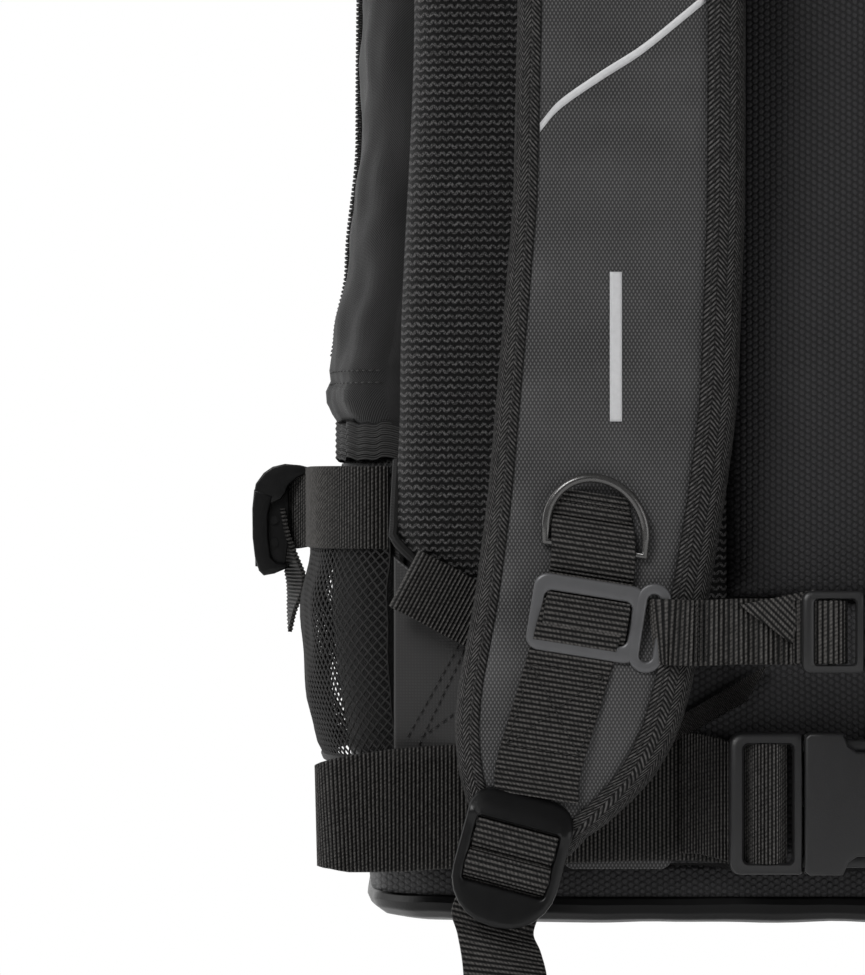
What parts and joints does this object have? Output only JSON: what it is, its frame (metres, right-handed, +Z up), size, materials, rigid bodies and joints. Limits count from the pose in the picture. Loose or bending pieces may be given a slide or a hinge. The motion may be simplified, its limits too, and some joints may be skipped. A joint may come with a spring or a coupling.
{
  "type": "ski boot bag",
  "caption": "Backpack-style ski boot bag with padded harness, clamshell lid on a zip, net side pockets, compression straps and side-release sternum and waist buckles.",
  "frame": {"origin": "middle of the flat underside of the base, on the mount base", "axes": "+Z up, +X to the right of someone who faces the harness side, harness side faces -Y, lid faces +Y"},
  "size_m": [0.3578, 0.2673, 0.6142],
  "materials": {
    "twill": "black nylon twill, slightly lustrous",
    "honeycomb": "black honeycomb-woven polyester",
    "spacer_mesh": "coarse black knitted spacer mesh",
    "coated": "dark grey coated fabric with a fine dot grain",
    "webbing": "black ribbed nylon webbing",
    "net": "black raschel net",
    "elastic": "black ribbed elastic",
    "steel": "blackened steel wire",
    "painted": "satin dark grey paint",
    "plastic": "moulded black acetal, fine texture",
    "zip": "black nylon coil"
  },
  "bodies": {
    "root": {"anchor_webbing_left": "webbing", "anchor_webbing_right": "webbing", "back_pad_left": "spacer_mesh", "back_pad_right": "spacer_mesh", "base": "honeycomb", "centre_back_panel": "honeycomb", "compression_anchor_left": "webbing", "compression_anchor_right": "webbing", "compression_strap_left": "webbing", "compression_strap_right": "webbing", "corner_wing_left": "coated", "corner_wing_right": "coated", "haul_loop": "webbing", "lower_front_panel": "twill", "net_pocket_left": "net", "net_pocket_right": "net", "pocket_elastic_left": "elastic", "pocket_elastic_right": "elastic", "rear_panel": "twill", "shoulder_strap_left": "coated", "shoulder_strap_right": "coated", "shoulder_webbing_left": "webbing", "shoulder_webbing_right": "webbing", "side_lower_panel_left": "twill", "side_lower_panel_right": "twill", "side_panel_left": "twill", "side_panel_right": "twill", "sternum_buckle_female": "plastic", "sternum_slider_left": "painted", "sternum_slider_right": "painted", "sternum_webbing_left": "webbing", "sternum_webbing_right": "webbing", "top_panel": "twill", "waist_buckle_female": "plastic", "waist_webbing_left": "webbing", "waist_webbing_right": "webbing", "zip_coil_body": "zip"},
    "lid": {"lid_front_panel": "twill", "lid_top_panel": "twill", "lid_side_panel_left": "twill", "lid_side_panel_right": "twill", "zip_coil_lid": "zip"},
    "waist_male": {"waist_buckle_male": "plastic", "waist_loop": "webbing"},
    "sternum_male": {"sternum_buckle_male": "plastic", "sternum_loop": "webbing"},
    "zip_slider_left": {"zip_slider_left": "painted"},
    "zip_puller_left": {"zip_puller_left": "painted"},
    "d_ring_left": {"d_ring_left": "steel"},
    "ladder_lock_left": {"ladder_lock_left": "plastic", "ladder_tail_left": "webbing"},
    "compression_lock_left": {"compression_lock_left": "plastic", "compression_tail_left": "webbing"},
    "zip_slider_right": {"zip_slider_right": "painted"},
    "zip_puller_right": {"zip_puller_right": "painted"},
    "d_ring_right": {"d_ring_right": "steel"},
    "ladder_lock_right": {"ladder_lock_right": "plastic", "ladder_tail_right": "webbing"},
    "compression_lock_right": {"compression_lock_right": "plastic", "compression_tail_right": "webbing"}
  },
  "joints": [
    {"name": "lid_open", "type": "hinge", "parent": "root", "child": "lid", "pos_m": [0, 0.115, 0.167], "axis": [-1, 0, 0], "range_deg": [0, 100]},
    {"name": "zip_slider_left_slide", "type": "slide", "parent": "root", "child": "zip_slider_left", "axis": [-1, 0, 0], "range_m": [0, 0.08]},
    {"name": "zip_puller_left_swing", "type": "hinge", "parent": "zip_slider_left", "child": "zip_puller_left", "pos_m": [-0.0109, 0, 0.4901], "axis": [0, 1, 0], "range_deg": [0, 120]},
    {"name": "zip_slider_right_slide", "type": "slide", "parent": "root", "child": "zip_slider_right", "axis": [1, 0, 0], "range_m": [0, 0.08]},
    {"name": "zip_puller_right_swing", "type": "hinge", "parent": "zip_slider_right", "child": "zip_puller_right", "pos_m": [0.0109, 0, 0.4901], "axis": [0, -1, 0], "range_deg": [0, 120]},
    {"name": "waist_buckle_release", "type": "slide", "parent": "root", "child": "waist_male", "axis": [-1, 0, 0], "range_m": [0, 0.03]},
    {"name": "sternum_buckle_release", "type": "slide", "parent": "root", "child": "sternum_male", "axis": [-1, 0, 0], "range_m": [0, 0.02]},
    {"name": "d_ring_left_swing", "type": "hinge", "parent": "root", "child": "d_ring_left", "pos_m": [-0.0814, -0.13819, 0.1127], "axis": [0.9877, 0, -0.1564], "range_deg": [0, 110]},
    {"name": "ladder_lock_left_tilt", "type": "hinge", "parent": "root", "child": "ladder_lock_left", "pos_m": [-0.10154, -0.1444, 0.03989], "axis": [-0.9659, 0, 0.2588], "range_deg": [0, 35]},
    {"name": "compression_lock_left_tilt", "type": "hinge", "parent": "root", "child": "compression_lock_left", "pos_m": [-0.17142, 0.0105, 0.1228], "axis": [0, 0, -1], "range_deg": [0, 35]},
    {"name": "d_ring_right_swing", "type": "hinge", "parent": "root", "child": "d_ring_right", "pos_m": [0.0814, -0.13819, 0.1127], "axis": [0.9877, 0, 0.1564], "range_deg": [0, 110]},
    {"name": "ladder_lock_right_tilt", "type": "hinge", "parent": "root", "child": "ladder_lock_right", "pos_m": [0.10154, -0.1444, 0.03989], "axis": [-0.9659, 0, -0.2588], "range_deg": [0, 35]},
    {"name": "compression_lock_right_tilt", "type": "hinge", "parent": "root", "child": "compression_lock_right", "pos_m": [0.17142, 0.0105, 0.1228], "axis": [0, 0, 1], "range_deg": [0, 35]}
  ]
}
